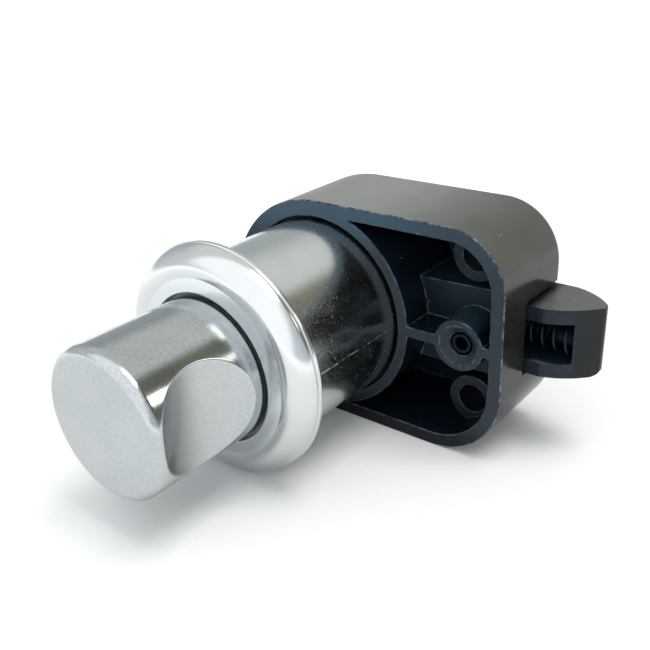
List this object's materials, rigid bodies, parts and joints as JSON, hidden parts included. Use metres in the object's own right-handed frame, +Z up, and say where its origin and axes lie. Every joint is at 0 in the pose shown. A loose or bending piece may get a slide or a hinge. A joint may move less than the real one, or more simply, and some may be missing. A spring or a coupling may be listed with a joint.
{
  "type": "pushbutton latch",
  "caption": "Push-in grip knob in a round rosette, a tube through the door and a D-shaped case with a sprung tongue out of its end.",
  "frame": {"origin": "on the knob's axis, in the plane of the door's inner face, where the case's rim lies", "axes": "+Y along the knob's axis, away from the door into the cabinet; +X the way the tongue points; +Z up"},
  "size_m": [0.051, 0.0532, 0.0304],
  "materials": {
    "black_plastic": "moulded, glossy outside",
    "tongue_plastic": "moulded, satin",
    "grey_plastic": "moulded, matt",
    "satin_chrome": "satin plated",
    "satin_zinc": "satin plated, fine grained",
    "plated_zinc": "bright plated",
    "cover_steel": "zinc plated sheet",
    "pin_steel": "zinc plated",
    "spring_steel": "drawn wire"
  },
  "bodies": {
    "case": {"housing": "black_plastic", "rear_cover": "cover_steel", "post_pin": "pin_steel", "rosette": "satin_chrome", "sleeve": "plated_zinc", "snap_ring": "spring_steel", "guide_bush": "grey_plastic", "retaining_ring": "spring_steel", "cam_follower": "spring_steel", "knob_spring": "spring_steel", "tongue_spring": "spring_steel"},
    "knob_unit": {"knob": "satin_zinc", "plunger": "grey_plastic", "knob_screw": "pin_steel"},
    "tongue_unit": {"tongue": "tongue_plastic"}
  },
  "joints": [
    {"name": "knob_press", "type": "slide", "parent": "case", "child": "knob_unit", "axis": [0, 1, 0], "range_m": [0, 0.014], "stiffness_N_per_m": 250, "springref_m": -0.012, "deforming": ["knob_spring"]},
    {"name": "tongue_slide", "type": "slide", "parent": "case", "child": "tongue_unit", "axis": [-1, 0, 0], "range_m": [0, 0.0065], "stiffness_N_per_m": 150, "springref_m": -0.01, "deforming": ["tongue_spring"]}
  ]
}
